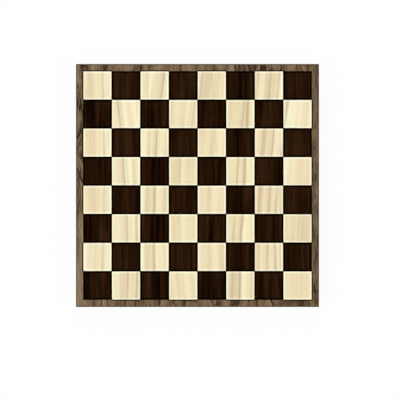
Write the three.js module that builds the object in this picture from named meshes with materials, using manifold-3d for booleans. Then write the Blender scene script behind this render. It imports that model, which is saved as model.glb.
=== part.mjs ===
// Magnetic chess board: a veneered panel with a steel sheet under inlaid squares, on four feet.
// Millimetres. +X runs along the ranks from file a to h, +Y along the files from rank 1 to 8, +Z up.
// The origin is the middle of the footprint, on the surface that the feet stand on.
import * as THREE from "three";
import { mergeVertices } from "three/addons/utils/BufferGeometryUtils.js";
import Module from "manifold-3d";

const wasm = await Module();
wasm.setup();

// Squares and border
const FILES = "abcdefgh";
const SQUARE = 30; // side of one square
const BORDER = 7.5; // from the board's outer face to the first square

// Layers
const INLAY = 1; // thickness of a light square
const SHEET_FLOOR = 0.6; // dark wood left under a light square
const STEEL = 0.6;
const CORE = 9.2;
const BACKING = 1;
const EDGE_BAND = 1; // thickness of the strips that close the sides
const ARRIS = 0.3; // chamfer along the edge bands' outer edges

// Feet
const FOOT_DIAMETER = 14;
const FOOT_TAPER = 1; // how much smaller the radius is at the table
const FOOT_WEB = 1.35; // rubber held between the screw's head and the board
const FOOT_INSET = 24; // from the board's outer faces to the middle of a foot

// Screws
const HEAD_DIAMETER = 5.6;
const HEAD_HEIGHT = 1.2;
const HEAD_SINK = 0.4; // how far the head stays above the table
const SHANK_DIAMETER = 2.4;
const POINT_LENGTH = 1.6;
const TIP_COVER = 3; // core left between the screw's point and the steel sheet
const CROSS_LENGTH = 3;
const CROSS_WIDTH = 0.7;
const CROSS_DEPTH = 0.7;

// Clearances
const GLUE_LINE = 0.05; // between layers, and at every other seat
const HAIRLINE = 0.25; // dark wood left around each pocket, which keeps corner neighbours apart
const INLAY_GAP = 0.05; // around an inlay in its pocket, and around the squares in the border
const STEEL_GAP = 0.25; // around the steel sheet in its pocket
const SCREW_GAP = 0.1; // around a shank in its hole
const HEAD_GAP = 0.5; // around a screw's head in its foot

const ROUND_STEPS = 24; // sides of a round piece
const CUT_PAST = 1; // how far a cutter runs past an open face

// Sizes in plan
const FIELD = FILES.length * SQUARE;
const BOARD = FIELD + 2 * BORDER;
const PANEL = BOARD - 2 * (EDGE_BAND + GLUE_LINE);
const POCKET = SQUARE - 2 * HAIRLINE;
const FOOT_CENTRE = BOARD / 2 - FOOT_INSET;
const SHANK_HOLE = SHANK_DIAMETER / 2 + SCREW_GAP;

// Heights
const HEAD_TOP = HEAD_SINK + HEAD_HEIGHT;
const WEB_BOTTOM = HEAD_TOP + GLUE_LINE;
const FOOT_HEIGHT = WEB_BOTTOM + FOOT_WEB;
const BACKING_BOTTOM = FOOT_HEIGHT + GLUE_LINE;
const BACKING_TOP = BACKING_BOTTOM + BACKING;
const CORE_BOTTOM = BACKING_TOP + GLUE_LINE;
const CORE_TOP = CORE_BOTTOM + CORE;
const STEEL_BOTTOM = CORE_TOP - STEEL;
const STEEL_POCKET_BOTTOM = STEEL_BOTTOM - GLUE_LINE;
const FACE_BOTTOM = CORE_TOP + GLUE_LINE;
const POCKET_BOTTOM = FACE_BOTTOM + SHEET_FLOOR;
const INLAY_BOTTOM = POCKET_BOTTOM + GLUE_LINE;
const BOARD_TOP = INLAY_BOTTOM + INLAY;
const SCREW_TIP = STEEL_POCKET_BOTTOM - TIP_COVER;

const wood = (color) => new THREE.MeshStandardMaterial({ color, roughness: 0.5, metalness: 0 });
const metal = (color) => new THREE.MeshStandardMaterial({ color, roughness: 0.35, metalness: 1 });
const rubber = (color) => new THREE.MeshStandardMaterial({ color, roughness: 0.9, metalness: 0 });

const BORDER_WOOD = 0x6b573f;
const DARK_WOOD = 0x241308;
const LIGHT_WOOD = 0xebddb6;
const EDGE_WOOD = 0x4a3a26;
const BACKING_WOOD = 0x66513a;
const CORE_WOOD = 0xa5855c;
const STEEL_GREY = 0x9aa0a4;
const SCREW_ZINC = 0xb9bcc0;
const FOOT_BLACK = 0x1b1b1c;

const board = new THREE.Group();

function addPart(name, geometry, material, x = 0, y = 0) {
  const mesh = new THREE.Mesh(geometry, material);
  mesh.name = name;
  mesh.position.set(x, y, 0);
  board.add(mesh);
}

// A closed mesh as a solid that can be joined and cut
function solid(geometry) {
  const bare = geometry.clone();
  bare.deleteAttribute("normal");
  bare.deleteAttribute("uv");
  const merged = mergeVertices(bare);
  const vertProperties = new Float32Array(merged.attributes.position.array);
  const triVerts = new Uint32Array(merged.index.array);
  return new wasm.Manifold(new wasm.Mesh({ numProp: 3, vertProperties, triVerts }));
}

// A solid's surface as a mesh again
function surface(body) {
  const mesh = body.getMesh();
  const geometry = new THREE.BufferGeometry();
  geometry.setAttribute("position", new THREE.BufferAttribute(mesh.vertProperties, 3));
  geometry.setIndex(new THREE.BufferAttribute(mesh.triVerts, 1));
  geometry.computeVertexNormals();
  return geometry;
}

// A piece with some cutters taken out of it
function cut(piece, cutters) {
  return surface(cutters.reduce((body, cutter) => body.subtract(solid(cutter)), solid(piece)));
}

// A square or oblong block between two heights, centred on the given point
function block(width, depth, bottom, top, x = 0, y = 0) {
  const middle = (bottom + top) / 2;
  return new THREE.BoxGeometry(width, depth, top - bottom).translate(x, y, middle);
}

// A round hole's cutter between two heights
function drill(radius, bottom, top, x = 0, y = 0) {
  const cylinder = new THREE.CylinderGeometry(radius, radius, top - bottom, ROUND_STEPS);
  return cylinder.rotateX(Math.PI / 2).translate(x, y, (bottom + top) / 2);
}

// A piece turned about +Z from a profile of [radius, height] pairs
function turned(profile) {
  const points = profile.map(([radius, height]) => new THREE.Vector2(radius, height));
  return new THREE.LatheGeometry(points, ROUND_STEPS).rotateX(Math.PI / 2);
}

// Squares: files and ranks count from 0, and a1 is dark
function squareCentre(index) {
  return (index + 0.5) * SQUARE - FIELD / 2;
}

function lightSquares() {
  const squares = [];
  for (let rank = 0; rank < FILES.length; rank += 1) {
    for (let file = 0; file < FILES.length; file += 1) {
      if ((file + rank) % 2 === 1) {
        const name = `${FILES[file]}${rank + 1}`;
        squares.push({ name, x: squareCentre(file), y: squareCentre(rank) });
      }
    }
  }
  return squares;
}

// Corners where the feet and their screws go
const CORNERS = [
  { name: "front_left", x: -FOOT_CENTRE, y: -FOOT_CENTRE },
  { name: "front_right", x: FOOT_CENTRE, y: -FOOT_CENTRE },
  { name: "back_left", x: -FOOT_CENTRE, y: FOOT_CENTRE },
  { name: "back_right", x: FOOT_CENTRE, y: FOOT_CENTRE },
];

// Border frame: one sheet with a window for the squares
function borderFrame() {
  const window = FIELD + 2 * INLAY_GAP;
  const cutter = block(window, window, FACE_BOTTOM - CUT_PAST, BOARD_TOP + CUT_PAST);
  return cut(block(PANEL, PANEL, FACE_BOTTOM, BOARD_TOP), [cutter]);
}

// Dark sheet: a pocket for each light square, open at the top
function darkSheet() {
  const pockets = lightSquares().map(({ x, y }) =>
    block(POCKET, POCKET, POCKET_BOTTOM, BOARD_TOP + CUT_PAST, x, y)
  );
  return cut(block(FIELD, FIELD, FACE_BOTTOM, BOARD_TOP), pockets);
}

// Light square: an inlay, flush with the dark squares
function lightSquare() {
  const side = POCKET - 2 * INLAY_GAP;
  return block(side, side, INLAY_BOTTOM, BOARD_TOP);
}

// Core board: a pocket for the steel sheet above, and a blind hole for each screw below
function coreBoard() {
  const side = FIELD + 2 * STEEL_GAP;
  const steelPocket = block(side, side, STEEL_POCKET_BOTTOM, CORE_TOP + CUT_PAST);
  const bottom = CORE_BOTTOM - CUT_PAST;
  const top = SCREW_TIP + GLUE_LINE;
  const holes = CORNERS.map(({ x, y }) => drill(SHANK_HOLE, bottom, top, x, y));
  return cut(block(PANEL, PANEL, CORE_BOTTOM, CORE_TOP), [steelPocket, ...holes]);
}

// Backing veneer: a hole for each screw
function backingVeneer() {
  const bottom = BACKING_BOTTOM - CUT_PAST;
  const top = BACKING_TOP + CUT_PAST;
  const holes = CORNERS.map(({ x, y }) => drill(SHANK_HOLE, bottom, top, x, y));
  return cut(block(PANEL, PANEL, BACKING_BOTTOM, BACKING_TOP), holes);
}

// Edge band: a strip along +Y whose outer face looks along -X, with both outer edges eased
function edgeBand(length) {
  const section = new THREE.Shape();
  section.moveTo(EDGE_BAND, BACKING_BOTTOM);
  section.lineTo(EDGE_BAND, BOARD_TOP);
  section.lineTo(ARRIS, BOARD_TOP);
  section.lineTo(0, BOARD_TOP - ARRIS);
  section.lineTo(0, BACKING_BOTTOM + ARRIS);
  section.lineTo(ARRIS, BACKING_BOTTOM);
  section.closePath();
  const strip = new THREE.ExtrudeGeometry(section, { depth: length, bevelEnabled: false });
  return strip.rotateX(Math.PI / 2).translate(-BOARD / 2, length / 2, 0);
}

// Rubber foot: tapered, with a recess for the screw's head
function rubberFoot() {
  const radius = FOOT_DIAMETER / 2;
  const recess = HEAD_DIAMETER / 2 + HEAD_GAP;
  return turned([
    [SHANK_HOLE, FOOT_HEIGHT],
    [SHANK_HOLE, WEB_BOTTOM],
    [recess, WEB_BOTTOM],
    [recess, 0],
    [radius - FOOT_TAPER, 0],
    [radius, FOOT_HEIGHT],
    [SHANK_HOLE, FOOT_HEIGHT],
  ]);
}

// Foot screw: driven up through the foot, with a cross recess in its head
function footScrew() {
  const shank = SHANK_DIAMETER / 2;
  const body = turned([
    [0, HEAD_SINK],
    [HEAD_DIAMETER / 2, HEAD_SINK],
    [HEAD_DIAMETER / 2, HEAD_TOP],
    [shank, HEAD_TOP],
    [shank, SCREW_TIP - POINT_LENGTH],
    [0, SCREW_TIP],
  ]);
  const bottom = HEAD_SINK - CUT_PAST;
  const top = HEAD_SINK + CROSS_DEPTH;
  return cut(body, [
    block(CROSS_LENGTH, CROSS_WIDTH, bottom, top),
    block(CROSS_WIDTH, CROSS_LENGTH, bottom, top),
  ]);
}

addPart("border_frame", borderFrame(), wood(BORDER_WOOD));
addPart("dark_sheet", darkSheet(), wood(DARK_WOOD));
for (const { name, x, y } of lightSquares()) {
  addPart(`light_square_${name}`, lightSquare(), wood(LIGHT_WOOD), x, y);
}
addPart("steel_sheet", block(FIELD, FIELD, STEEL_BOTTOM, CORE_TOP), metal(STEEL_GREY));
addPart("core_board", coreBoard(), wood(CORE_WOOD));
addPart("backing_veneer", backingVeneer(), wood(BACKING_WOOD));

// The left and right bands run the whole length, and the other two butt between them
addPart("edge_band_left", edgeBand(BOARD), wood(EDGE_WOOD));
addPart("edge_band_right", edgeBand(BOARD).rotateZ(Math.PI), wood(EDGE_WOOD));
addPart("edge_band_front", edgeBand(PANEL).rotateZ(Math.PI / 2), wood(EDGE_WOOD));
addPart("edge_band_back", edgeBand(PANEL).rotateZ(-Math.PI / 2), wood(EDGE_WOOD));

for (const { name, x, y } of CORNERS) {
  addPart(`rubber_foot_${name}`, rubberFoot(), rubber(FOOT_BLACK), x, y);
  addPart(`foot_screw_${name}`, footScrew(), metal(SCREW_ZINC), x, y);
}

export default board;
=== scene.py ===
"""Looks of a veneered magnetic chess board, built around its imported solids.

The file is laid out as an add-on and is run as a script. Lengths are metres, +Z is up out of the
playing surface, and the grain of the board's face runs along Y, from rank 1 to rank 8.
"""
import math

import bmesh
import bpy
from mathutils import Matrix, Vector


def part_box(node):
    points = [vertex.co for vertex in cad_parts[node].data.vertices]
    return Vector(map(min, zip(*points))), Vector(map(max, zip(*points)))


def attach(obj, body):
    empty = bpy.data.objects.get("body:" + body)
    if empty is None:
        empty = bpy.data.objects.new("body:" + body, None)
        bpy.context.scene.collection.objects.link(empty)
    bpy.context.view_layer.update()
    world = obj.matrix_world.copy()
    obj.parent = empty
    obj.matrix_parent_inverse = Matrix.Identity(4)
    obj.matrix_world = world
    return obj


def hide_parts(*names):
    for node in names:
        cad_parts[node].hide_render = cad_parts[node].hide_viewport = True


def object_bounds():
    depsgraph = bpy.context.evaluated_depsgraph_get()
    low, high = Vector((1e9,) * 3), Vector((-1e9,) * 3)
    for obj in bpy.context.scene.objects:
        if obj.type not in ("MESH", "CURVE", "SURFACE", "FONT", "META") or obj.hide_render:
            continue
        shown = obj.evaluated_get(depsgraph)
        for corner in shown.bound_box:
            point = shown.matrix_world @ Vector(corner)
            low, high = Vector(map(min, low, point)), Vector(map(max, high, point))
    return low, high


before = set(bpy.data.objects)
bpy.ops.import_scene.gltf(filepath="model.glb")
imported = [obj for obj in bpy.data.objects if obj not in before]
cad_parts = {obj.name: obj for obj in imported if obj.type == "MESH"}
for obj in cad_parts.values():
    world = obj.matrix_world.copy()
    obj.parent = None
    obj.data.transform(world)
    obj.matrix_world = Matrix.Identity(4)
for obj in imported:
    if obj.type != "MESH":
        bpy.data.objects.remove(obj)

bl_info = {
    "name": "Magnetic Chess Board",
    "version": (1, 0, 0),
    "blender": (4, 5, 0),
    "location": "3D View > Sidebar > Chess Board",
    "description": "Magnetic chess board with inlaid squares, banded sides and screwed feet",
    "category": "Add Mesh",
}

MM = 0.001
BODY = "root"
FILES = "abcdefgh"
RANKS = range(1, len(FILES) + 1)
LIGHT_SQUARES = [f"{file}{rank}" for rank in RANKS for file in FILES[rank % 2::2]]
SIDES = ("left", "right", "front", "back")
CORNERS = ("front_left", "front_right", "back_left", "back_right")

# Sizes that the frame gives
CAD_LOW, CAD_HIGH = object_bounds()
FIELD_LOW, FIELD_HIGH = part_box("dark_sheet")
INLAY_LOW, INLAY_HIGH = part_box("light_square_b1")
FIELD = FIELD_HIGH.x - FIELD_LOW.x
SQUARE = FIELD / len(FILES)
INLAY = INLAY_HIGH.x - INLAY_LOW.x
BOARD = CAD_HIGH.x - CAD_LOW.x
BOARD_TOP = CAD_HIGH.z

# Two growth lines in the light squares of each file, how dark they are, and how strong the bands
# between them. A line's distances from the squares' left edge are in mm, at the board's back edge,
# at its middle and at its front edge.
LIGHT_LINES = (
    (20, 22, 20, 0.6),
    (1, 14, 16, 0.8),
    (26, 15, 16, 0.9),
    (22, 9, 18, 0.25),
    (25, 14, 16, 0.35),
    (26, 18, 14, 0.9),
    (27, 16, 13, 0.8),
    (12, -6, -10, 0.7),
)
LIGHT_SIDE_LINES = (
    (9, 12, 11, 0.3),
    (4, 18, 22, 0.4),
    (7, 9, 9, 0.4),
    (32, 22, 30, 0.2),
    (14, 21, 24, 0.25),
    (26, 11, 6, 0.7),
    (49, 24, 24, 0.8),
    (30, 18, 14, 0.15),
)
LIGHT_BANDS = (0.7, 0.8, 0.8, 0.6, 0.9, 0.6, 0.9, 0.25)

# The blackest band in the dark squares of each file: its distances and how dark it is, as above
DARK_LINES = (
    (11, 6, 5, 0.6),
    (17, 27, 32, 0.4),
    (9, 17, 15, 0.9),
    (18, 22, 15, 0.3),
    (34, 22, 3, 0.6),
    (17, 14, 15, 0.8),
    (20, 25, 14, 0.5),
    (25, 27, 25, 0.2),
)

# How far a noise moves along X, Y and Z from one seed to the next
SEED_STEP = (7.3, 3.1, 5.7)

# The lacquer: its weight on even wood, how much of it the open grain takes up, and its roughness
COAT = 0.12
COAT_SUNK = 0.3
COAT_ROUGHNESS = 0.18

# Meshes: vertices this close are merged, edges at more than these angles may be eased or stay
# crisp in the shading, and a turned piece has this many sides
MERGE_DISTANCE = 0.001 * MM
EASED_ANGLE = math.radians(40.0)
CRISP_ANGLE = math.radians(35.0)
TURNED_SIDES = 64

# A screw's head: the share of its radius that is flat, the shares and heights in mm of the rounding
# from there to its side, and the share of the cross that is left at the cross's floor
HEAD_FLAT = 0.8
HEAD_ROUNDING = ((0.9, 0.08), (0.97, 0.24), (1.0, 0.5))
CROSS_FLOOR = 0.8

# The studio: where its lamps hang, and how steeply a ray climbs where the walls begin to darken
# and where the ceiling is fully dark
SOFTBOXES = {
    "softbox_left": (-1.6, -0.7, 1.6),
    "softbox_right": (1.6, -0.7, 1.6),
    "softbox_back": (0.0, 1.8, 1.6),
}
CEILING_FROM, CEILING_FULL = 0.45, 0.75
WHITE = (1.0, 1.0, 1.0, 1.0)

# The photograph's frame, in its pixels
FRAME_SIDE = 400
BOARD_LEFT, BOARD_RIGHT = 76.0, 319.0
BOARD_UPPER, BOARD_LOWER = 64.0, 307.0


def linear(code):
    """The values that a shader takes for a colour as it looks on screen, such as 0xEBDDB6."""
    levels = [(code >> shift & 255) / 255 for shift in (16, 8, 0)]
    return tuple(v / 12.92 if v <= 0.04045 else ((v + 0.055) / 1.055) ** 2.4 for v in levels)


def length(name, millimetres, description):
    """A size that a user may change."""
    return bpy.props.FloatProperty(
        name=name,
        description=description,
        default=millimetres * MM,
        min=0.0,
        precision=5,
        subtype="DISTANCE",
        unit="LENGTH",
    )


def paint(name, code, description):
    """A colour that a user may change."""
    return bpy.props.FloatVectorProperty(
        name=name,
        description=description,
        default=linear(code),
        size=3,
        min=0.0,
        max=1.0,
        subtype="COLOR",
    )


class BoardSizes(bpy.types.PropertyGroup):
    """Sizes of the details that the solids leave out"""

    joint: length("Joint", 0.05, "Gap around a light square, and between squares and border")
    square_ease: length("Square ease", 0.14, "Rounding along the top edges of squares and border")
    band_ease: length("Band ease", 0.3, "Rounding along the outer edges of the edge bands")
    # The rim is painted: a highlight along the light squares' edges and a shade along the dark
    # squares' edges
    rim: length("Rim", 1.45, "Width of the paler or darker rim along a square's edges")
    shadow_line: length("Shadow line", 1.4, "Dark line on the border beside a light square")
    foot_ease: length("Foot ease", 0.45, "Rounding along the lower edges of a foot")
    foot_taper: length("Foot taper", 1.0, "How far a foot's side leans in towards the ground")
    recess: length("Recess", 6.6, "Diameter of the recess in a foot for the screw's head")
    screw_hole: length("Screw hole", 2.6, "Diameter of the hole through a foot")
    web: length("Web", 1.35, "Rubber between a screw's head and the board")
    head: length("Screw head", 5.6, "Diameter of a screw's head")
    head_height: length("Head height", 1.2, "Height of a screw's head")
    shank: length("Shank", 2.4, "Diameter of a screw's shank")
    point: length("Point", 1.6, "Length of a screw's point")
    cross: length("Cross", 3.0, "Length of the cross in a screw's head")
    cross_width: length("Cross width", 0.7, "Width of the cross in a screw's head")
    cross_depth: length("Cross depth", 0.7, "Depth of the cross in a screw's head")


class BoardColours(bpy.types.PropertyGroup):
    """Colours of the woods, the rubber and the metals"""

    light_body: paint("Light wood", 0xF0E1B8, "Body of the light squares")
    light_pale: paint("Light wood, pale", 0xF9F2CC, "Palest bands of the light squares")
    light_streak: paint("Light wood, streaks", 0xC4B08B, "Grey-tan streaks of the light squares")
    light_blush: paint("Light wood, blush", 0xF4DAB8, "Pinkish bands of the light squares")
    # A painted highlight, added along the light squares' edges
    light_painted_highlight: paint("Light wood, rim", 0x667C80, "Added to the colour along the squares' edges")
    light_edge: paint("Light wood, edge", 0xE8C890, "Amber line where the edge drank lacquer")
    dark_body: paint("Dark wood", 0x211306, "Body of the dark squares")
    dark_black: paint("Dark wood, black", 0x0C0401, "Blackest bands of the dark squares")
    dark_brown: paint("Dark wood, brown", 0x372312, "Brown bands of the dark squares")
    dark_red: paint("Dark wood, red", 0x36190C, "Reddish bands of the dark squares")
    # A painted shade, for the dark squares' edges and for the border's shadow line
    dark_painted_shade: paint("Dark wood, rim", 0x050201, "Rim of the dark squares")
    border_body: paint("Border", 0x776249, "Body of the border")
    border_pale: paint("Border, pale", 0x967F65, "Palest bands of the border")
    border_streak: paint("Border, streaks", 0x271A0E, "Dark streaks of the border")
    edge_body: paint("Edge bands", 0x4A3A26, "Body of the edge bands")
    edge_streak: paint("Edge bands, streaks", 0x1F140A, "Dark streaks of the edge bands")
    backing_body: paint("Backing", 0x66513A, "Body of the veneer under the board")
    backing_streak: paint("Backing, streaks", 0x382716, "Dark streaks of that veneer")
    core: paint("Core", 0xA5855C, "Fibreboard core")
    core_fleck: paint("Core, flecks", 0x6E5230, "Fibres in the core")
    steel: paint("Steel sheet", 0x9AA0A4, "Sheet under the squares")
    zinc: paint("Screws", 0xB9BCC0, "Zinc plating of the screws")
    rubber: paint("Feet", 0x1B1B1C, "Rubber of the feet")


class StageSetup(bpy.types.PropertyGroup):
    """Camera, lamps and floor"""

    lens: bpy.props.FloatProperty(
        name="Lens",
        description="Focal length of the camera",
        default=85.0,
        min=10.0,
        unit="CAMERA",
    )
    lamp_power: bpy.props.FloatProperty(
        name="Lamp power",
        description="Power of each softbox",
        default=26.1,
        min=0.0,
        unit="POWER",
    )
    lamp_size: length("Lamp size", 1400, "Width and height of each softbox")
    wall_light: bpy.props.FloatProperty(
        name="Wall light",
        description="Brightness of the studio's white walls",
        default=0.4,
        min=0.0,
    )
    ceiling_light: bpy.props.FloatProperty(
        name="Ceiling light",
        description="Brightness of the studio's dark ceiling",
        default=0.01,
        min=0.0,
    )
    floor: paint("Floor", 0xFCFCFC, "Paper that the board stands on")
    floor_white: bpy.props.FloatProperty(
        name="Floor white",
        description="How far the floor reads as plain white in the picture",
        default=0.93,
        min=0.0,
        max=1.0,
        subtype="FACTOR",
    )
    floor_size: length("Floor size", 6000, "Width of the floor")


class Tone:
    """A shader socket that Python arithmetic works on: each operation adds a Math node."""

    def __init__(self, finish, socket):
        self.finish = finish
        self.socket = socket

    def out(self, name):
        """Another output of the node that this one comes from."""
        return Tone(self.finish, self.socket.node.outputs[name])

    def math(self, operation, first, second=0.0):
        """The result of a Math node."""
        return self.finish.node("ShaderNodeMath", {"operation": operation}, {0: first, 1: second})

    def __add__(self, other):
        return self.math("ADD", self, other)

    __radd__ = __add__

    def __sub__(self, other):
        return self.math("SUBTRACT", self, other)

    def __rsub__(self, other):
        return self.math("SUBTRACT", other, self)

    def __mul__(self, other):
        return self.math("MULTIPLY", self, other)

    __rmul__ = __mul__

    def __mod__(self, other):
        return self.math("FLOORED_MODULO", self, other)

    def __abs__(self):
        return self.math("ABSOLUTE", self)

    def at_least(self, other):
        return self.math("MAXIMUM", self, other)

    def rise(self, low, high):
        """A smooth step from 0 at low to 1 at high."""
        settings = {"interpolation_type": "SMOOTHSTEP"}
        sockets = {"Value": self, "From Min": low, "From Max": high}
        return self.finish.node("ShaderNodeMapRange", settings, sockets)

    def near(self, inner, outer):
        """1 within an inner distance of 0, and a smooth step to 0 at an outer one."""
        return 1 - abs(self).rise(inner, outer)

    def swing(self, amount):
        """A noise, whose middle is 0.5, as a change either way."""
        return (self - 0.5) * amount


class Finish:
    """The nodes of one material or of the world."""

    def __init__(self, tree):
        self.tree = tree
        tree.nodes.clear()

    def node(self, kind, settings=None, sockets=None, output=0):
        """Adds a node: its settings first, then the values or links of its sockets."""
        made = self.tree.nodes.new(kind)
        for key, value in (settings or {}).items():
            if key in ("stops", "steps"):
                set_stops(made.color_ramp, value, "LINEAR" if key == "stops" else "CONSTANT")
            else:
                setattr(made, key, value)
        for key, value in (sockets or {}).items():
            if isinstance(value, Tone):
                self.tree.links.new(value.socket, made.inputs[key])
            else:
                made.inputs[key].default_value = value
        return Tone(self, made.outputs[output]) if made.outputs else None

    def place(self):
        """Where a point lies on the board, in metres."""
        return self.node("ShaderNodeTexCoord", output="Object")

    def vector(self, operation, first, second=(0.0, 0.0, 0.0)):
        """The result of a Vector Math node."""
        return self.node("ShaderNodeVectorMath", {"operation": operation}, {0: first, 1: second})

    def parts(self, vector):
        """The X, Y and Z of a vector."""
        x = self.node("ShaderNodeSeparateXYZ", None, {0: vector})
        return x, x.out("Y"), x.out("Z")

    def joined(self, x, y, z):
        """A vector from its X, Y and Z."""
        return self.node("ShaderNodeCombineXYZ", None, {0: x, 1: y, 2: z})

    def noise(self, place, across, along, seed, detail=2.0):
        """Noise from 0 to 1, with a size across the grain and another along it, which is Y."""
        sockets = {
            "Vector": place,
            "Location": [seed * step for step in SEED_STEP],
            "Scale": (1 / across, 1 / along, 1 / across),
        }
        drawn = self.node("ShaderNodeMapping", None, sockets)
        sockets = {"Vector": drawn, "Scale": 1.0, "Detail": detail, "Roughness": 0.5}
        return self.node("ShaderNodeTexNoise", None, sockets)

    def blend(self, share, first, second, kind="MIX"):
        """A colour between two others, or one with a share of the other added."""
        settings = {"data_type": "RGBA", "blend_type": kind, "clamp_result": True}
        sockets = {0: share, 6: opaque(first), 7: opaque(second)}
        return self.node("ShaderNodeMix", settings, sockets, output=2)

    def ramp(self, share, *stops):
        """A colour from a row of (position, colour) stops."""
        return self.node("ShaderNodeValToRGB", {"stops": stops}, {0: share})

    def steps(self, share, levels):
        """A number that jumps from level to level as a share goes from 0 to 1."""
        low, high = min(levels), max(levels)
        greys = [(level - low) / (high - low) for level in levels]
        stops = [(index / len(greys), (grey,) * 3) for index, grey in enumerate(greys)]
        return self.node("ShaderNodeValToRGB", {"steps": stops}, {0: share}) * (high - low) + low

    def surface(self, tint, relief, depth, sockets):
        """The shader that all solid finishes share, with relief as a bump of some depth."""
        height = {"Strength": 1.0, "Distance": depth, "Height": relief}
        bump = self.node("ShaderNodeBump", None, height)
        sockets = {"Base Color": tint, "Normal": bump, **sockets}
        shader = self.node("ShaderNodeBsdfPrincipled", None, sockets)
        self.node("ShaderNodeOutputMaterial", None, {"Surface": shader})

    def lacquer(self, tint, relief, depth, rough, sunk):
        """Wood under a thin clear lacquer, which sinks into the open grain and is duller there."""
        sockets = {
            "Roughness": rough,
            "Specular IOR Level": 0.0,
            "Coat Weight": COAT - sunk.swing(COAT_SUNK),
            "Coat Roughness": COAT_ROUGHNESS,
        }
        self.surface(tint, relief, depth, sockets)


def opaque(tint):
    """A colour with an alpha of 1, or a link as it is."""
    return tint if isinstance(tint, Tone) else (*tint, 1.0)


def set_stops(ramp, stops, interpolation):
    """Gives a colour ramp its stops."""
    ramp.interpolation = interpolation
    while len(ramp.elements) < len(stops):
        ramp.elements.new(1.0)
    for element, (position, tint) in zip(ramp.elements, stops):
        element.position = position
        element.color = opaque(tint)


def new_finish(name):
    """A material and the nodes to fill it with."""
    material = bpy.data.materials.get(name) or bpy.data.materials.new(name)
    material.use_nodes = True
    return material, Finish(material.node_tree)


def in_squares(finish, place):
    """A place on the face, counted in squares from the board's middle."""
    return finish.vector("MULTIPLY", place, (1 / SQUARE,) * 3)


def cell(finish, place):
    """The file and the rank of a point on the face, counted from the board's middle."""
    file, rank, _ = finish.parts(finish.vector("FLOOR", in_squares(finish, place)))
    return file, rank


def cell_edge(finish, place):
    """How far a point on the face lies inside the edges of its square."""
    share = finish.vector("FRACTION", in_squares(finish, place))
    off_middle = finish.vector("SUBTRACT", share, (0.5,) * 3)
    x, y, _ = finish.parts(finish.vector("ABSOLUTE", off_middle))
    return (0.5 - x.at_least(y)) * SQUARE


def shadow_beside_light_square(finish, place, width):
    """Where the painted shadow line goes: 1 on the part of the border that touches a light square,
    and 0 elsewhere.
    """
    reach = (FIELD - SQUARE) / 2
    inside = finish.vector("MAXIMUM", place, (-reach,) * 3)
    inside = finish.vector("MINIMUM", inside, (reach,) * 3)
    file, rank = cell(finish, inside)
    x, y, _ = finish.parts(finish.vector("ABSOLUTE", place))
    out = x.at_least(y) - FIELD / 2
    return (file + rank) % 2.0 * (1 - out.rise(0.4 * width, width))


def by_file(finish, file, numbers):
    """A number of which each file has its own."""
    return finish.steps((file + 0.5) * (1 / len(FILES)) + 0.5, numbers)


def file_line(finish, file, across, y, lines):
    """How far right of its file's line a point lies, and how dark the line is."""
    back, middle, front, dark = zip(*lines)
    slopes = [(b - f) * MM / BOARD for b, f in zip(back, front)]
    bows = [2 * (b + f - 2 * m) * MM / BOARD**2 for b, m, f in zip(back, middle, front)]
    start = by_file(finish, file, [m * MM for m in middle])
    slope = by_file(finish, file, slopes)
    bow = by_file(finish, file, bows)
    course = start + slope * y + bow * y * y
    return across - course, by_file(finish, file, dark)


def growth_line(off):
    """A thin dark line, with a soft shade that builds up before it."""
    thin = off.near(0.2 * MM, 1.3 * MM)
    soft = off.rise(-7 * MM, -0.5 * MM) * (1 - off.rise(0.0, 2.5 * MM))
    return thin * 0.6 + soft * 0.34


def light_wood(colours, sizes):
    """Cream wood: soft bands and a blush that run beside each file's growth lines."""
    material, finish = new_finish("light_wood_lacquered")
    place = finish.place()
    x, y, z = finish.parts(place)
    file, rank = cell(finish, place)
    wander = finish.noise(place, 16 * MM, 60 * MM, seed=1)
    across = x - file * SQUARE + wander.swing(3.6 * MM)
    off, dark = file_line(finish, file, across, y, LIGHT_LINES)
    side_off, side_dark = file_line(finish, file, across, y, LIGHT_SIDE_LINES)
    streak = (growth_line(off) * dark).at_least(growth_line(side_off) * side_dark)
    early = off.rise(1 * MM, 4 * MM) * (1 - off.rise(7 * MM, 11 * MM)) * dark
    grain = finish.joined(off + file * SQUARE, y, z)
    broad = finish.noise(grain, 8 * MM, 300 * MM, seed=2, detail=1.0)
    narrow = finish.noise(grain, 3.5 * MM, 260 * MM, seed=3, detail=1.0)
    fibre = finish.noise(grain, 0.3 * MM, 9 * MM, seed=4)
    blush = finish.noise(grain, 4.2 * MM, 280 * MM, seed=5).rise(0.45, 0.65)
    fade = finish.noise(grain, 9 * MM, 50 * MM, seed=7, detail=1.0).rise(0.3, 0.6)
    cloud = finish.noise(grain, 40 * MM, 200 * MM, seed=10, detail=0.0)
    square = finish.joined(file, rank, 0.0)
    cut = finish.node("ShaderNodeTexWhiteNoise", {"noise_dimensions": "3D"}, {"Vector": square})
    bands = (broad.swing(0.95) + narrow.swing(0.85)) * by_file(finish, file, LIGHT_BANDS)
    clouds = cloud.swing(0.4) + cut.swing(0.12)
    tint = finish.ramp(
        0.51 + bands + clouds + early * 0.3 + fibre.swing(0.25),
        (0.1, colours.light_streak),
        (0.5, colours.light_body),
        (0.85, colours.light_pale),
    )
    tint = finish.blend(blush * 0.5, tint, colours.light_blush)
    tint = finish.blend(streak * (0.5 + fade * 0.5), tint, colours.light_streak)
    edge = cell_edge(finish, place)
    # Painted highlight: a pale band is added along each light square's edges
    rim = 1 - edge.rise(0.75 * sizes.rim, 2.0 * sizes.rim)
    tint = finish.blend(rim, tint, colours.light_painted_highlight, "ADD")
    amber = 1 - edge.rise(0.2 * sizes.rim, 0.35 * sizes.rim)
    tint = finish.blend(amber, tint, colours.light_edge)
    rough = 0.42 + fibre.swing(0.2)
    finish.lacquer(tint, relief=fibre, depth=0.02 * MM, rough=rough, sunk=narrow)
    return material


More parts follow.
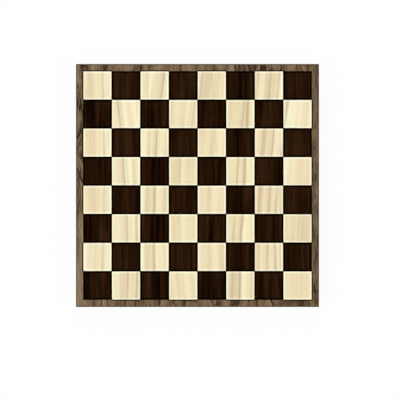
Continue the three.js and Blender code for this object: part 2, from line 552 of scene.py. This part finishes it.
def dark_wood(colours, sizes):
    """Near-black wood of one sheet: bands of black, brown and red that run on along the files."""
    material, finish = new_finish("dark_wood_lacquered")
    place = finish.place()
    x, y, z = finish.parts(place)
    wander = finish.noise(place, 18 * MM, 60 * MM, seed=11)
    grain = finish.joined(x + wander.swing(4 * MM), y, z)
    patch = finish.noise(place, 30 * MM, 45 * MM, seed=17, detail=1.0)
    broad = finish.noise(grain, 8 * MM, 120 * MM, seed=12, detail=1.0)
    narrow = finish.noise(grain, 2.9 * MM, 70 * MM, seed=13, detail=1.0)
    fleck = finish.noise(grain, 0.9 * MM, 6 * MM, seed=18)
    fibre = finish.noise(grain, 0.28 * MM, 7 * MM, seed=14)
    red = finish.noise(grain, 3.4 * MM, 100 * MM, seed=15).rise(0.45, 0.65)
    pore = finish.noise(grain, 0.22 * MM, 3.5 * MM, seed=16).rise(0.62, 0.7)
    file, _ = cell(finish, place)
    across = x - file * SQUARE + wander.swing(8 * MM)
    off, dark = file_line(finish, file, across, y, DARK_LINES)
    heart = off.near(0.0, dark * (12 * MM)) * dark
    bands = patch.swing(0.6) + broad.swing(0.55) + narrow.swing(1.0) - heart * 0.34
    tint = finish.ramp(
        0.515 + bands + fleck.swing(0.35) + fibre.swing(0.4),
        (0.15, colours.dark_black),
        (0.5, colours.dark_body),
        (0.85, colours.dark_brown),
    )
    tint = finish.blend(red * 0.4, tint, colours.dark_red)
    tint = finish.blend(pore * 0.4, tint, colours.dark_black)
    # Painted shade: the dark squares' edges are darkened towards near-black
    rim = 1 - cell_edge(finish, place).rise(1.0 * sizes.rim, 1.5 * sizes.rim)
    tint = finish.blend(rim * 0.95, tint, colours.dark_painted_shade)
    relief = fibre - pore * 0.6
    rough = 0.42 + fibre.swing(0.2)
    finish.lacquer(tint, relief, depth=0.02 * MM, rough=rough, sunk=narrow + fleck - 0.5)
    return material


def border_stretches(x, y):
    """What differs along the border: its right side, and how pale, streaky and busy it is."""
    across = x * (1 / BOARD)
    along = y * (1 / BOARD)
    left = 1 - across.rise(-0.47, -0.44)
    right = across.rise(0.44, 0.47)
    back = along.rise(0.3, 0.42)
    front = 1 - back
    pale = left * (1 - along.rise(-0.2, -0.06))
    shady = left - pale
    calm = front * (across + 0.27).near(0.05, 0.09)
    dim = front * (1 - right) * across.rise(0.36, 0.41)
    still = back * (across + 0.05).near(0.12, 0.22)
    still = still.at_least(calm * 0.7).at_least(dim)
    crowded = back * (across - 0.25).near(0.06, 0.16)
    corner = front * (1 - left) * (1 - across.rise(-0.38, -0.33))
    busy = crowded.at_least(shady).at_least(corner * 0.7)
    streaky = (1 - right * 0.8) * (1 - pale * 0.8) * (1 - still * 0.85)
    paleness = pale * 0.2 - shady * 0.07 - right * 0.16 - dim * 0.3 - calm * 0.16
    return right, paleness, streaky, busy


def border_wood(colours, sizes):
    """Grey-brown wood of one sheet: a calm ground, with the growth rings' dark lines in groups."""
    material, finish = new_finish("border_wood_lacquered")
    place = finish.place()
    x, y, z = finish.parts(place)
    right, paleness, streaky, busy = border_stretches(x, y)
    wander = finish.noise(place, 14 * MM, 30 * MM, seed=21, detail=1.0)
    grain = finish.joined(x + wander.swing(12 * MM) * (1 - right * 0.75), y, z)
    broad = finish.noise(grain, 6 * MM, 60 * MM, seed=22, detail=1.0)
    narrow = finish.noise(grain, 1.8 * MM, 34 * MM, seed=23)
    fibre = finish.noise(grain, 0.28 * MM, 5 * MM, seed=24)
    fleck = finish.noise(grain, 1.1 * MM, 6 * MM, seed=27, detail=3.0)
    ring = finish.noise(grain, 26 * MM, 90 * MM, seed=25, detail=1.0) * 6 % 1.0
    late = ring.rise(0.0, 0.06) * (1 - ring.rise(0.1, 0.4))
    group = finish.noise(place, 24 * MM, 40 * MM, seed=26, detail=1.0).rise(0.42, 0.58)
    crowd = finish.noise(grain, 5 * MM, 46 * MM, seed=28, detail=1.0)
    crowd = crowd.rise(0.45, 0.49) * (1 - crowd.rise(0.51, 0.61))
    streak = (late * (0.55 + group * 0.45) * streaky).at_least(crowd * busy)
    mottle = finish.noise(grain, 3.5 * MM, 12 * MM, seed=29)
    bands = broad.swing(0.9) + narrow.swing(0.6)
    bands = bands + right * (mottle.swing(0.7) - bands * 0.45)
    tint = finish.ramp(
        0.56 + bands + fleck.swing(0.8) + fibre.swing(0.4) + paleness,
        (0.1, colours.border_streak),
        (0.5, colours.border_body),
        (0.85, colours.border_pale),
    )
    tint = finish.blend(streak * 0.95, tint, colours.border_streak)
    # Painted shadow: a dark line on the border beside each light square, as if a gap there were in
    # shade
    line = shadow_beside_light_square(finish, place, sizes.shadow_line)
    tint = finish.blend(line * 0.9, tint, colours.dark_painted_shade)
    relief = fibre - streak * 0.4
    rough = 0.46 + fibre.swing(0.2)
    finish.lacquer(tint, relief, depth=0.03 * MM, rough=rough, sunk=narrow)
    return material


def plain_wood(name, body, dark, along_x):
    """Straight-grained wood for the bands and the backing, with the grain along X or along Y."""
    material, finish = new_finish(name)
    turn = (0.0, 0.0, math.radians(90.0) if along_x else 0.0)
    place = finish.node("ShaderNodeMapping", None, {"Vector": finish.place(), "Rotation": turn})
    x, y, z = finish.parts(place)
    wander = finish.noise(place, 14 * MM, 70 * MM, seed=31)
    grain = finish.joined(x + wander.swing(4 * MM), y, z + wander.swing(3 * MM))
    broad = finish.noise(grain, 4 * MM, 90 * MM, seed=32)
    narrow = finish.noise(grain, 1.2 * MM, 50 * MM, seed=33)
    fibre = finish.noise(grain, 0.25 * MM, 6 * MM, seed=34)
    streak = finish.noise(grain, 1.8 * MM, 40 * MM, seed=35).rise(0.55, 0.72)
    level = 0.5 + broad.swing(0.9) + narrow.swing(1.0) + fibre.swing(0.5)
    pale = tuple(min(1.0, 1.6 * channel) for channel in body)
    tint = finish.ramp(level, (0.1, dark), (0.5, body), (0.95, pale))
    tint = finish.blend(streak * 0.5, tint, dark)
    relief = fibre - streak * 0.4
    rough = 0.46 + fibre.swing(0.2)
    finish.lacquer(tint, relief, depth=0.03 * MM, rough=rough, sunk=narrow)
    return material


def core_fibreboard(colours):
    """Pressed fibres, cut clean."""
    material, finish = new_finish("core_fibreboard")
    place = finish.place()
    fleck = finish.noise(place, 0.8 * MM, 0.8 * MM, seed=41, detail=4.0).rise(0.45, 0.7)
    cloud = finish.noise(place, 12 * MM, 12 * MM, seed=42)
    tint = finish.blend(fleck * 0.6 + cloud.swing(0.3), colours.core, colours.core_fleck)
    finish.surface(tint, fleck, 0.05 * MM, {"Roughness": 0.85 + cloud.swing(0.2)})
    return material


def sheet_steel(colours):
    """Cold-rolled sheet with fine rolling marks along Y."""
    material, finish = new_finish("sheet_steel_rolled")
    place = finish.place()
    marks = finish.noise(place, 0.15 * MM, 30 * MM, seed=51, detail=3.0)
    cloud = finish.noise(place, 20 * MM, 20 * MM, seed=52)
    tint = finish.blend(marks.swing(0.5) + 0.2, colours.steel, colours.zinc)
    rough = 0.34 + marks.swing(0.25) + cloud.swing(0.15)
    finish.surface(tint, marks, 0.004 * MM, {"Metallic": 1.0, "Roughness": rough})
    return material


def screw_zinc(colours):
    """Zinc plating, cloudy and lightly scuffed."""
    material, finish = new_finish("screw_zinc_plated")
    place = finish.place()
    cloud = finish.noise(place, 1.2 * MM, 1.2 * MM, seed=61, detail=3.0)
    scuff = finish.noise(place, 0.12 * MM, 1.5 * MM, seed=62, detail=3.0)
    tint = finish.blend(cloud.rise(0.35, 0.7) * 0.5, colours.zinc, colours.steel)
    rough = 0.28 + scuff.swing(0.3)
    finish.surface(tint, scuff, 0.004 * MM, {"Metallic": 1.0, "Roughness": rough})
    return material


def foot_rubber(colours):
    """Moulded rubber with a fine spark texture and a little dust."""
    material, finish = new_finish("foot_rubber_moulded")
    place = finish.place()
    spark = finish.noise(place, 0.18 * MM, 0.18 * MM, seed=71, detail=3.0)
    dust = finish.noise(place, 2.5 * MM, 2.5 * MM, seed=72, detail=3.0).rise(0.5, 0.75)
    tint = finish.blend(dust * 0.1, colours.rubber, colours.steel)
    rough = 0.72 + spark.swing(0.3)
    finish.surface(tint, spark, 0.03 * MM, {"Roughness": rough, "Specular IOR Level": 0.3})
    return material


def add_slab(bm, low, high):
    """Adds a block between two corners."""
    place = Matrix.Translation((low + high) / 2) @ Matrix.Diagonal((*(high - low), 1.0))
    bmesh.ops.create_cube(bm, size=1.0, matrix=place)


def lift(bm, verts, height):
    """Moves some vertices up, or down by a height below 0."""
    bmesh.ops.translate(bm, verts=verts, vec=(0.0, 0.0, height))


def new_verts(result):
    """The vertices that an extrusion made."""
    return [v for v in result["geom"] if isinstance(v, bmesh.types.BMVert)]


def sharp_edges(bm, test):
    """Edges between faces at an angle, both of whose ends pass a test."""
    sharp = [e for e in bm.edges if e.calc_face_angle(0.0) > EASED_ANGLE]
    return [e for e in sharp if all(test(v.co) for v in e.verts)]


def ease(bm, edges, width, segments=3):
    """Rounds some edges over."""
    bmesh.ops.bevel(
        bm,
        geom=edges,
        offset=width,
        offset_type="OFFSET",
        affect="EDGES",
        segments=segments,
        profile=0.5,
        material=-1,
        clamp_overlap=True,
    )


def ease_top(bm, low, high, width):
    """Rounds the upper edges of a flat piece over."""
    middle = (low.z + high.z) / 2
    ease(bm, sharp_edges(bm, lambda co: co.z > middle), width)


def new_mesh(name, bm, material):
    """A mesh from a bmesh, with its finish."""
    mesh = bpy.data.meshes.new(name)
    bm.to_mesh(mesh)
    bm.free()
    mesh.materials.append(material)
    return mesh


def new_object(name, data):
    """An object in the scene, in place of one that an earlier run left there."""
    old = bpy.data.objects.get(name)
    if old:
        bpy.data.objects.remove(old)
    made = bpy.data.objects.new(name, data)
    bpy.context.scene.collection.objects.link(made)
    return made


def add_piece(name, bm, material, node):
    """Makes a bmesh a piece that stands for a node and moves with the board."""
    bmesh.ops.remove_doubles(bm, verts=bm.verts, dist=MERGE_DISTANCE)
    bmesh.ops.recalc_face_normals(bm, faces=bm.faces)
    mesh = new_mesh(name, bm, material)
    mesh.shade_smooth()
    mesh.set_sharp_from_angle(angle=CRISP_ANGLE)
    piece = new_object(name, mesh)
    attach(piece, BODY)
    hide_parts(node)


def dress(node, material):
    """Gives a node that stays in view its finish."""
    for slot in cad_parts[node].material_slots:
        slot.link = "OBJECT"
        slot.material = material


def border_shape(low, high, sizes):
    """A panel with a window for the squares."""
    panel = high.x - low.x
    rail = (panel - FIELD) / 2 - sizes.joint
    bm = bmesh.new()
    bmesh.ops.create_grid(bm, x_segments=1, y_segments=1, size=panel / 2)
    window = bm.faces[:]
    bmesh.ops.inset_region(
        bm, faces=window, thickness=rail, use_boundary=True, use_even_offset=True
    )
    bmesh.ops.delete(bm, geom=window, context="FACES_ONLY")
    lift(bm, bm.verts, low.z)
    raised = new_verts(bmesh.ops.extrude_face_region(bm, geom=bm.faces[:]))
    lift(bm, raised, high.z - low.z)
    ease_top(bm, low, high, sizes.square_ease)
    return bm


class CHESSBOARD_OT_border(bpy.types.Operator):
    """Build the one-piece border around the squares"""

    bl_idname = "chessboard.border"
    bl_label = "Border"

    def execute(self, context):
        sizes = context.scene.board_sizes
        wood = border_wood(context.scene.board_colours, sizes)
        bm = border_shape(*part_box("border_frame"), sizes)
        add_piece("border_veneer", bm, wood, "border_frame")
        return {"FINISHED"}


def dark_sheet_shape(sizes):
    """A sheet with a pocket for each light square, whose lands are the dark squares."""
    depth = sizes.square_ease
    brink = FIELD_HIGH.z - depth
    hairline = (SQUARE - INLAY) / 2 - sizes.joint
    bm = bmesh.new()
    bmesh.ops.create_grid(bm, x_segments=len(FILES), y_segments=len(FILES), size=FIELD / 2)
    lift(bm, bm.verts, brink)
    light, dark = [], []
    for face in bm.faces:
        middle = face.calc_center_median()
        file, rank = math.floor(middle.x / SQUARE), math.floor(middle.y / SQUARE)
        (light if (file + rank) % 2 else dark).append(face)
    bmesh.ops.inset_individual(bm, faces=light, thickness=hairline, use_even_offset=True)
    bmesh.ops.inset_individual(
        bm, faces=dark, thickness=depth, depth=depth, use_even_offset=True
    )
    rim = [e for e in bm.edges if e.is_boundary]
    floors = bmesh.ops.extrude_discrete_faces(bm, faces=light)["faces"]
    corners = {v for face in floors for v in face.verts}
    lift(bm, list(corners), INLAY_LOW.z - sizes.joint - brink)
    skirt = new_verts(bmesh.ops.extrude_edge_only(bm, edges=rim))
    lift(bm, skirt, FIELD_LOW.z - brink)
    bmesh.ops.edgeloop_fill(bm, edges=[e for e in bm.edges if e.is_boundary])
    return bm


class CHESSBOARD_OT_dark_squares(bpy.types.Operator):
    """Build the dark sheet, with a pocket for each light square"""

    bl_idname = "chessboard.dark_squares"
    bl_label = "Dark Squares"

    def execute(self, context):
        sizes = context.scene.board_sizes
        wood = dark_wood(context.scene.board_colours, sizes)
        bm = dark_sheet_shape(sizes)
        add_piece("dark_squares", bm, wood, "dark_sheet")
        return {"FINISHED"}


class CHESSBOARD_OT_light_squares(bpy.types.Operator):
    """Build the light squares, each an inlay of its own"""

    bl_idname = "chessboard.light_squares"
    bl_label = "Light Squares"

    def execute(self, context):
        sizes = context.scene.board_sizes
        wood = light_wood(context.scene.board_colours, sizes)
        for square in LIGHT_SQUARES:
            node = f"light_square_{square}"
            low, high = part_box(node)
            bm = bmesh.new()
            add_slab(bm, low, high)
            ease_top(bm, low, high, sizes.square_ease)
            add_piece(f"light_inlay_{square}", bm, wood, node)
        return {"FINISHED"}


def outer_edges(bm, width):
    """The edges of a band's outer faces, apart from the corners that butt against another band."""
    reach = BOARD / 2 - width
    along_side = sharp_edges(bm, lambda co: abs(co.x) > reach)
    along_end = sharp_edges(bm, lambda co: abs(co.y) > reach)
    butted = sharp_edges(bm, lambda co: abs(co.x) < reach)
    upright = [e for e in butted if abs(e.verts[0].co.z - e.verts[1].co.z) > width]
    outer = (set(along_side) | set(along_end)) - set(upright)
    return [e for e in bm.edges if e in outer]


class CHESSBOARD_OT_edge_bands(bpy.types.Operator):
    """Build the four strips that close the board's sides"""

    bl_idname = "chessboard.edge_bands"
    bl_label = "Edge Bands"

    def execute(self, context):
        width = context.scene.board_sizes.band_ease
        colours = context.scene.board_colours
        body, streak = colours.edge_body, colours.edge_streak
        across = plain_wood("edge_wood_along_x", body, streak, along_x=True)
        lengthwise = plain_wood("edge_wood_along_y", body, streak, along_x=False)
        for side in SIDES:
            node = f"edge_band_{side}"
            bm = bmesh.new()
            add_slab(bm, *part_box(node))
            ease(bm, outer_edges(bm, width), width)
            wood = across if side in ("front", "back") else lengthwise
            add_piece(f"side_band_{side}", bm, wood, node)
        return {"FINISHED"}


class CHESSBOARD_OT_inner_layers(bpy.types.Operator):
    """Finish the layers under the squares: the steel sheet, the core and the backing"""

    bl_idname = "chessboard.inner_layers"
    bl_label = "Inner Layers"

    def execute(self, context):
        colours = context.scene.board_colours
        body, streak = colours.backing_body, colours.backing_streak
        dress("steel_sheet", sheet_steel(colours))
        dress("core_board", core_fibreboard(colours))
        dress("backing_veneer", plain_wood("backing_wood_veneer", body, streak, along_x=False))
        return {"FINISHED"}


def foot_shape(low, high, sizes):
    """A tapered foot with a recess for the screw's head, turned about its own axis."""
    middle = (low + high) / 2
    radius = (high.x - low.x) / 2
    hole = sizes.screw_hole / 2
    recess = sizes.recess / 2
    web = high.z - sizes.web
    profile = [
        (hole, high.z),
        (hole, web),
        (recess, web),
        (recess, low.z),
        (radius - sizes.foot_taper, low.z),
        (radius, high.z),
    ]
    bm = bmesh.new()
    points = [bm.verts.new((middle.x + r, middle.y, z)) for r, z in profile]
    edges = [bm.edges.new((points[i - 1], points[i])) for i in range(len(points))]
    bmesh.ops.spin(
        bm,
        geom=points + edges,
        cent=(middle.x, middle.y, 0.0),
        axis=(0.0, 0.0, 1.0),
        angle=2 * math.pi,
        steps=TURNED_SIDES,
        use_merge=True,
    )
    ease(bm, sharp_edges(bm, lambda co: co.z < middle.z), sizes.foot_ease, segments=4)
    return bm


class CHESSBOARD_OT_feet(bpy.types.Operator):
    """Build the four rubber feet"""

    bl_idname = "chessboard.feet"
    bl_label = "Feet"

    def execute(self, context):
        sizes = context.scene.board_sizes
        rubber = foot_rubber(context.scene.board_colours)
        for corner in CORNERS:
            node = f"rubber_foot_{corner}"
            bm = foot_shape(*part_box(node), sizes)
            add_piece(f"foot_{corner}", bm, rubber, node)
        return {"FINISHED"}


def screw_shape(low, high, sizes):
    """A pan-head screw with a cross recess, head down."""
    middle = (low + high) / 2
    head = sizes.head / 2
    flat = HEAD_FLAT * head
    shank = sizes.shank / 2
    tip = high.z - low.z
    arm = sizes.cross / 2
    half_width = sizes.cross_width / 2
    bm = bmesh.new()
    bmesh.ops.create_grid(bm, x_segments=3, y_segments=3, size=arm)
    squeeze = half_width / (arm / 3)
    inner_x = [v for v in bm.verts if abs(v.co.x) < arm / 2]
    inner_y = [v for v in bm.verts if abs(v.co.y) < arm / 2]
    bmesh.ops.scale(bm, vec=(squeeze, 1.0, 1.0), verts=inner_x)
    bmesh.ops.scale(bm, vec=(1.0, squeeze, 1.0), verts=inner_y)
    bmesh.ops.subdivide_edges(bm, edges=[e for e in bm.edges if e.is_boundary], cuts=3)
    rim = [e for e in bm.edges if e.is_boundary]
    cross = [f for f in bm.faces if min(map(abs, f.calc_center_median().xy)) < half_width]
    sunk = new_verts(bmesh.ops.extrude_face_region(bm, geom=cross))
    bmesh.ops.delete(bm, geom=cross, context="FACES")
    lift(bm, sunk, sizes.cross_depth)
    bmesh.ops.scale(bm, vec=(CROSS_FLOOR, CROSS_FLOOR, 1.0), verts=sunk)
    # The circle around the flat is bridged from a distance and then moved level with the cross
    apart = Matrix.Translation((0.0, 0.0, -head))
    circle = bmesh.ops.create_circle(bm, segments=len(rim), radius=flat, matrix=apart)["verts"]
    loop = [e for e in bm.edges if e.is_wire]
    bmesh.ops.bridge_loops(bm, edges=rim + loop)
    lift(bm, circle, head)
    rings = [
        *((share * head, height * MM) for share, height in HEAD_ROUNDING),
        (head, sizes.head_height),
        (shank, sizes.head_height),
        (shank, tip - sizes.point),
        (0.0, tip),
    ]
    radius, height = flat, 0.0
    for next_radius, next_height in rings:
        grown = bmesh.ops.extrude_edge_only(bm, edges=loop)
        verts = new_verts(grown)
        share = next_radius / radius
        bmesh.ops.scale(bm, vec=(share, share, 1.0), verts=verts)
        lift(bm, verts, next_height - height)
        loop = [e for e in grown["geom"] if isinstance(e, bmesh.types.BMEdge)]
        radius, height = next_radius, next_height
    bmesh.ops.translate(bm, verts=bm.verts, vec=(middle.x, middle.y, low.z))
    return bm


class CHESSBOARD_OT_screws(bpy.types.Operator):
    """Build the four screws that hold the feet"""

    bl_idname = "chessboard.screws"
    bl_label = "Screws"

    def execute(self, context):
        sizes = context.scene.board_sizes
        zinc = screw_zinc(context.scene.board_colours)
        for corner in CORNERS:
            node = f"foot_screw_{corner}"
            bm = screw_shape(*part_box(node), sizes)
            add_piece(f"screw_{corner}", bm, zinc, node)
        return {"FINISHED"}


def sight(finish):
    """Which rays come from the camera, and which from there or from a mirror or glass."""
    camera = finish.node("ShaderNodeLightPath", output="Is Camera Ray")
    mirrored = camera.out("Is Glossy Ray")
    return camera, camera.at_least(mirrored).at_least(camera.out("Is Transmission Ray"))


def floor_paper(stage):
    """White paper that keeps the board's shadow and reads as white in the picture."""
    material, finish = new_finish("floor_paper")
    _, seen = sight(finish)
    matt = finish.node("ShaderNodeBsdfDiffuse", None, {"Color": opaque(stage.floor)})
    white = finish.node("ShaderNodeEmission", None, {"Color": WHITE, "Strength": 1.0})
    sockets = {0: seen * stage.floor_white, 1: matt, 2: white}
    mixed = finish.node("ShaderNodeMixShader", None, sockets)
    finish.node("ShaderNodeOutputMaterial", None, {"Surface": mixed})
    return material


def studio_walls(stage):
    """White walls and a dark ceiling for the lacquer to mirror, and plain white for the camera."""
    world = bpy.data.worlds.get("studio_walls") or bpy.data.worlds.new("studio_walls")
    world.use_nodes = True
    finish = Finish(world.node_tree)
    _, _, up = finish.parts(finish.node("ShaderNodeTexCoord", output="Generated"))
    camera, seen = sight(finish)
    wall = stage.wall_light + seen * (1 - stage.wall_light)
    ceiling = up.rise(CEILING_FROM, CEILING_FULL) * (1 - camera)
    strength = wall + ceiling * (stage.ceiling_light - wall)
    walls = finish.node("ShaderNodeBackground", None, {"Color": WHITE, "Strength": strength})
    finish.node("ShaderNodeOutputWorld", None, {"Surface": walls})
    return world


def add_floor(stage):
    """The paper under the board."""
    bm = bmesh.new()
    bmesh.ops.create_grid(bm, x_segments=1, y_segments=1, size=stage.floor_size / 2)
    floor = new_object("floor", new_mesh("floor", bm, floor_paper(stage)))


def add_softbox(name, place, stage):
    """A soft lamp that looks at the board's middle."""
    lamp = bpy.data.lights.new(name, "AREA")
    lamp.shape = "RECTANGLE"
    lamp.size = stage.lamp_size
    lamp.size_y = stage.lamp_size
    lamp.energy = stage.lamp_power
    softbox = new_object(name, lamp)
    softbox.location = place
    softbox.rotation_euler = (-Vector(place)).to_track_quat("-Z", "Y").to_euler()


def add_camera(stage):
    """Looks straight down, with the board where the photograph has it in the frame."""
    pixel = BOARD / (BOARD_RIGHT - BOARD_LEFT)
    camera = bpy.data.cameras.new("camera")
    camera.lens = stage.lens
    distance = FRAME_SIDE * pixel * camera.lens / camera.sensor_width
    right = (FRAME_SIDE - BOARD_LEFT - BOARD_RIGHT) / 2 * pixel
    up = (BOARD_UPPER + BOARD_LOWER - FRAME_SIDE) / 2 * pixel
    holder = new_object("camera", camera)
    holder.location = (right, up, BOARD_TOP + distance)
    bpy.context.scene.camera = holder


class CHESSBOARD_OT_stage(bpy.types.Operator):
    """Set up the floor, the lamps, the walls and the camera straight above the board"""

    bl_idname = "chessboard.stage"
    bl_label = "Stage"

    def execute(self, context):
        scene = context.scene
        stage = scene.board_stage
        add_floor(stage)
        for name, place in SOFTBOXES.items():
            add_softbox(name, place, stage)
        scene.world = studio_walls(stage)
        add_camera(stage)
        scene.view_settings.view_transform = "Standard"
        return {"FINISHED"}


OPERATORS = (
    CHESSBOARD_OT_stage,
    CHESSBOARD_OT_border,
    CHESSBOARD_OT_dark_squares,
    CHESSBOARD_OT_light_squares,
    CHESSBOARD_OT_edge_bands,
    CHESSBOARD_OT_inner_layers,
    CHESSBOARD_OT_feet,
    CHESSBOARD_OT_screws,
)


class CHESSBOARD_PT_sidebar(bpy.types.Panel):
    """Sizes, colours and the steps that build the board"""

    bl_idname = "CHESSBOARD_PT_sidebar"
    bl_label = "Magnetic Chess Board"
    bl_space_type = "VIEW_3D"
    bl_region_type = "UI"
    bl_category = "Chess Board"

    def draw(self, context):
        scene = context.scene
        for group in (scene.board_sizes, scene.board_colours, scene.board_stage):
            box = self.layout.box()
            for name in group.__annotations__:
                box.prop(group, name)
        for operator in OPERATORS:
            self.layout.operator(operator.bl_idname)


GROUPS = {"board_sizes": BoardSizes, "board_colours": BoardColours, "board_stage": StageSetup}
CLASSES = (*GROUPS.values(), *OPERATORS, CHESSBOARD_PT_sidebar)


def register():
    """Makes the settings, the operators and the panel known."""
    for item in CLASSES:
        bpy.utils.register_class(item)
    for name, group in GROUPS.items():
        setattr(bpy.types.Scene, name, bpy.props.PointerProperty(type=group))


def unregister():
    """Takes them away again."""
    for name in GROUPS:
        delattr(bpy.types.Scene, name)
    for item in reversed(CLASSES):
        bpy.utils.unregister_class(item)


def main():
    """Builds the board."""
    register()
    bpy.ops.chessboard.stage()
    bpy.ops.chessboard.border()
    bpy.ops.chessboard.dark_squares()
    bpy.ops.chessboard.light_squares()
    bpy.ops.chessboard.edge_bands()
    bpy.ops.chessboard.inner_layers()
    bpy.ops.chessboard.feet()
    bpy.ops.chessboard.screws()


if __name__ == "__main__":
    main()
